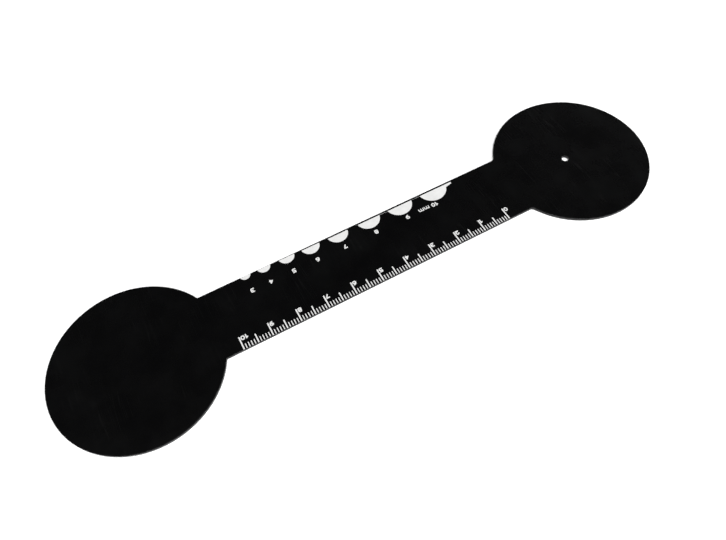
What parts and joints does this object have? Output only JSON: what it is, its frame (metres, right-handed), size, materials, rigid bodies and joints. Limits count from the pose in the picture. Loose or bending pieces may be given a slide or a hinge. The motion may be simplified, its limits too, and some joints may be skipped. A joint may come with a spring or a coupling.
{
  "type": "hand-held eye occluder",
  "caption": "Flat dog-bone hand-held eye occluder: a solid paddle, a paddle with a sight hole, and a straight handle printed with a millimetre ruler and a pupil gauge.",
  "frame": {"origin": "middle of the plate's bottom face, halfway between the centres of the two paddles", "axes": "+X along the handle in the reading direction of the print, towards the solid paddle; +Y towards the edge with the ruler; +Z out of the printed face"},
  "size_m": [0.2228, 0.0562, 0.001],
  "materials": {
    "black_plastic": "satin black moulded sheet",
    "white_ink": "matte white screen-printed ink"
  },
  "bodies": {
    "root": {"occluder_plate": "black_plastic", "ruler_millimetre_ticks": "white_ink", "ruler_half_centimetre_ticks": "white_ink", "ruler_centimetre_ticks": "white_ink", "ruler_numerals": "white_ink", "gauge_half_discs": "white_ink", "gauge_numerals": "white_ink", "gauge_unit_mark": "white_ink", "gauge_base_line": "white_ink"}
  },
  "joints": []
}
